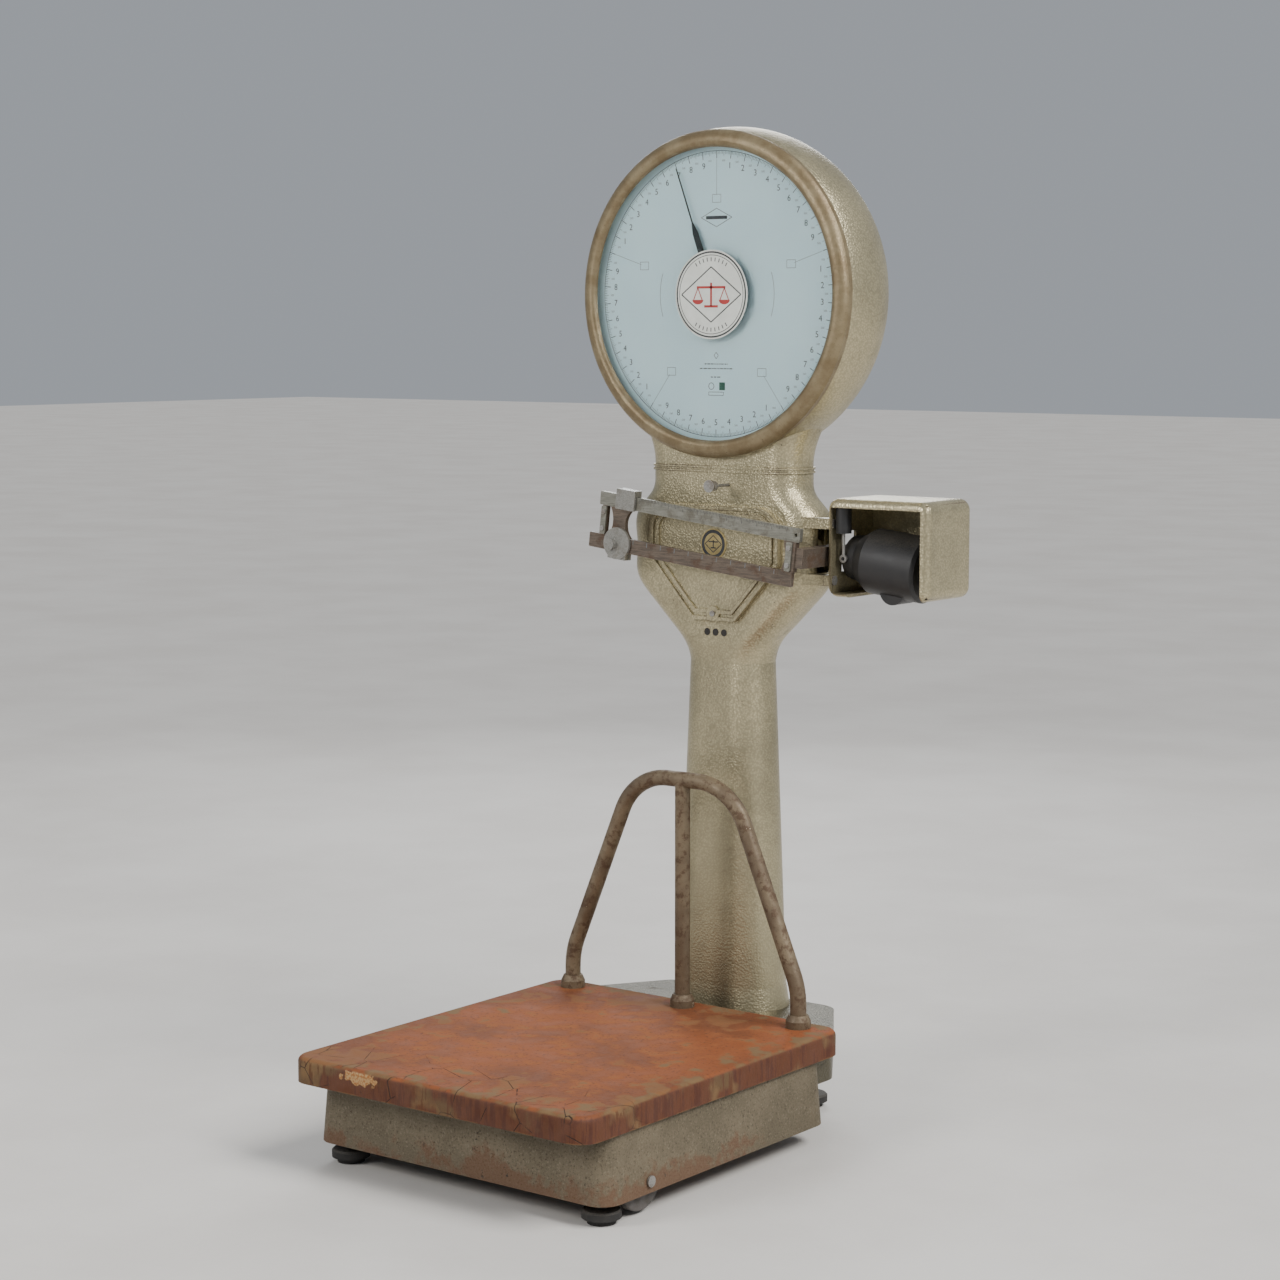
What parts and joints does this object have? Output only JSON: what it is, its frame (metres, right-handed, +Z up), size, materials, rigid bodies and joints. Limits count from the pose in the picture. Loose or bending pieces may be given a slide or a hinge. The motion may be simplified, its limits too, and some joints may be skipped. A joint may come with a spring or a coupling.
{
  "type": "platform shipping scale",
  "caption": "Floor-standing platform scale: levers under a cast platform, a hollow column, a tilting beam with sliding poises, and a round dial with a rack-driven pointer.",
  "frame": {"origin": "on the floor, under the centre of the overall box (the platform's middle is 53 mm left and 114 mm forward of it)", "axes": "+Z up, +X to the right of a person facing the dial, +Y from the platform to the column"},
  "size_m": [0.658, 0.852, 1.524],
  "materials": {
    "hammered_paint": "hammered silver-beige paint",
    "bezel_bronze": "worn bronze-brown paint",
    "base_paint": "aged grey-green paint, pitted",
    "rusted_plate": "orange-brown rust with worn grey edges",
    "rail_paint": "worn brown-grey paint",
    "clear_glass": "clear",
    "dial_white": "pale blue-white enamel with printed marks",
    "medallion_white": "printed disc",
    "pointer_black": "dark, satin",
    "bar_aluminium": "worn, engraved",
    "brown_steel": "dark browned steel",
    "plain_steel": "dull",
    "black_iron": "satin black",
    "lever_iron": "bare casting",
    "foot_rubber": "matte",
    "gold_badge": "printed metal badge",
    "wheel_rubber": "matte, worn"
  },
  "bodies": {
    "frame": {"base_frame": "base_paint", "fulcrum_stands": "plain_steel", "column_pedestal": "base_paint", "pedestal_bolts": "plain_steel", "foot_lock_nuts": "plain_steel", "wheel_axles": "plain_steel", "column_casting": "hammered_paint", "cover_plate": "hammered_paint", "cover_screw": "plain_steel", "badge": "gold_badge", "seal_plugs": "foot_rubber", "seam_bead": "hammered_paint", "dial_housing": "hammered_paint", "bezel_ring": "bezel_bronze", "dial_glass": "clear_glass", "dial_plate": "dial_white", "medallion": "medallion_white", "mechanism_bridge": "plain_steel", "fulcrum_shaft": "plain_steel", "weight_guard": "hammered_paint", "guard_bolts": "plain_steel", "dashpot_cylinder": "black_iron"},
    "platform": {"platform_plate": "rusted_plate", "platform_bearings": "plain_steel", "rail_hoop": "rail_paint", "rail_post": "rail_paint", "rail_collars": "rail_paint", "rail_nuts": "plain_steel"},
    "foot_front_left": {"foot_front_left": "foot_rubber"},
    "foot_front_right": {"foot_front_right": "foot_rubber"},
    "foot_rear_left": {"foot_rear_left": "foot_rubber"},
    "foot_rear_right": {"foot_rear_right": "foot_rubber"},
    "wheel_left": {"wheel_left": "wheel_rubber"},
    "wheel_right": {"wheel_right": "wheel_rubber"},
    "front_lever": {"front_lever": "lever_iron", "front_lever_knives": "plain_steel"},
    "rear_lever": {"rear_lever": "lever_iron", "rear_lever_knives": "plain_steel"},
    "coupling_link": {"coupling_link": "plain_steel"},
    "pull_rod": {"pull_rod": "plain_steel"},
    "lock": {"lock_knob": "plain_steel", "lock_cam": "plain_steel"},
    "pointer": {"pointer": "pointer_black", "pointer_shaft": "gold_badge"},
    "rack": {"rack": "gold_badge"},
    "pendulum": {"pendulum": "plain_steel"},
    "dial_link": {"dial_link": "plain_steel"},
    "beam": {"beam_lever": "brown_steel", "upper_bar": "bar_aluminium", "lower_bar": "brown_steel", "left_yoke": "brown_steel", "right_yoke": "brown_steel", "end_straps": "bar_aluminium", "strap_screws": "plain_steel", "weight_rod": "brown_steel", "weight_lock_nut": "brown_steel", "counterweight": "black_iron"},
    "upper_poise": {"upper_poise": "bar_aluminium"},
    "lower_poise": {"lower_poise": "bar_aluminium"},
    "dashpot_piston": {"dashpot_piston": "plain_steel"}
  },
  "joints": [
    {"name": "beam_tilt", "type": "hinge", "parent": "frame", "child": "beam", "pos_m": [0.077, 0.291, 0.882], "axis": [0, -1, 0], "range_deg": [0, 7]},
    {"name": "platform_travel", "type": "slide", "parent": "frame", "child": "platform", "axis": [0, 0, -1], "range_m": [0, 0.0011]},
    {"name": "front_lever_pivot", "type": "hinge", "parent": "frame", "child": "front_lever", "pos_m": [-0.053, -0.319, 0.112], "axis": [-1, 0, 0], "range_deg": [0, 1.6]},
    {"name": "rear_lever_pivot", "type": "hinge", "parent": "frame", "child": "rear_lever", "pos_m": [-0.053, 0.116, 0.112], "axis": [1, 0, 0], "range_deg": [0, 1.5]},
    {"name": "coupling_link_travel", "type": "slide", "parent": "frame", "child": "coupling_link", "axis": [0, 0, -1], "range_m": [0, 0.0056]},
    {"name": "pull_rod_travel", "type": "slide", "parent": "frame", "child": "pull_rod", "axis": [0, 0, -1], "range_m": [0, 0.0162]},
    {"name": "dial_link_travel", "type": "slide", "parent": "frame", "child": "dial_link", "axis": [0, 0, -1], "range_m": [0, 0.0272]},
    {"name": "pendulum_pivot", "type": "hinge", "parent": "frame", "child": "pendulum", "pos_m": [-0.101, 0.291, 1.19], "axis": [0, -1, 0], "range_deg": [0, 35.5]},
    {"name": "rack_travel", "type": "slide", "parent": "frame", "child": "rack", "axis": [0, 0, 1], "range_m": [0, 0.0248]},
    {"name": "pointer_turn", "type": "hinge", "parent": "frame", "child": "pointer", "pos_m": [-0.053, 0.238, 1.268], "axis": [0, 1, 0], "range_deg": [0, 361]},
    {"name": "dashpot_travel", "type": "slide", "parent": "frame", "child": "dashpot_piston", "axis": [0, 0, 1], "range_m": [0, 0.0115]},
    {"name": "upper_poise_slide", "type": "slide", "parent": "beam", "child": "upper_poise", "axis": [0.9936, 0, -0.1132], "range_m": [0, 0.28]},
    {"name": "lower_poise_slide", "type": "slide", "parent": "beam", "child": "lower_poise", "axis": [0.9936, 0, -0.1132], "range_m": [0, 0.278]},
    {"name": "lock_turn", "type": "hinge", "parent": "frame", "child": "lock", "pos_m": [-0.03, 0.226, 0.977], "axis": [0, -1, 0], "range_deg": [0, 90]},
    {"name": "foot_front_left_turn", "type": "hinge", "parent": "frame", "child": "foot_front_left", "pos_m": [-0.288, -0.34, 0.02], "axis": [0, 0, 1], "continuous": true},
    {"name": "foot_front_right_turn", "type": "hinge", "parent": "frame", "child": "foot_front_right", "pos_m": [0.182, -0.34, 0.02], "axis": [0, 0, 1], "continuous": true},
    {"name": "foot_rear_left_turn", "type": "hinge", "parent": "frame", "child": "foot_rear_left", "pos_m": [-0.185, 0.318, 0.02], "axis": [0, 0, 1], "continuous": true},
    {"name": "foot_rear_right_turn", "type": "hinge", "parent": "frame", "child": "foot_rear_right", "pos_m": [0.079, 0.318, 0.02], "axis": [0, 0, 1], "continuous": true},
    {"name": "wheel_left_spin", "type": "hinge", "parent": "frame", "child": "wheel_left", "pos_m": [-0.3035, -0.279, 0.05], "axis": [1, 0, 0], "continuous": true},
    {"name": "wheel_right_spin", "type": "hinge", "parent": "frame", "child": "wheel_right", "pos_m": [0.1975, -0.279, 0.05], "axis": [1, 0, 0], "continuous": true}
  ],
  "couplings": [
    {"joint": "platform_travel", "follows": "beam_tilt", "m_per_rad": 0.0085246},
    {"joint": "front_lever_pivot", "follows": "beam_tilt", "ratio": 0.21311},
    {"joint": "rear_lever_pivot", "follows": "beam_tilt", "ratio": 0.19891},
    {"joint": "coupling_link_travel", "follows": "beam_tilt", "m_per_rad": 0.044754},
    {"joint": "pull_rod_travel", "follows": "beam_tilt", "m_per_rad": 0.13},
    {"joint": "dial_link_travel", "follows": "beam_tilt", "m_per_rad": 0.22},
    {"joint": "pendulum_pivot", "follows": "beam_tilt", "ratio": 5},
    {"joint": "rack_travel", "follows": "beam_tilt", "m_per_rad": 0.2},
    {"joint": "pointer_turn", "follows": "beam_tilt", "ratio": 51.429},
    {"joint": "dashpot_travel", "follows": "beam_tilt", "m_per_rad": 0.092}
  ]
}
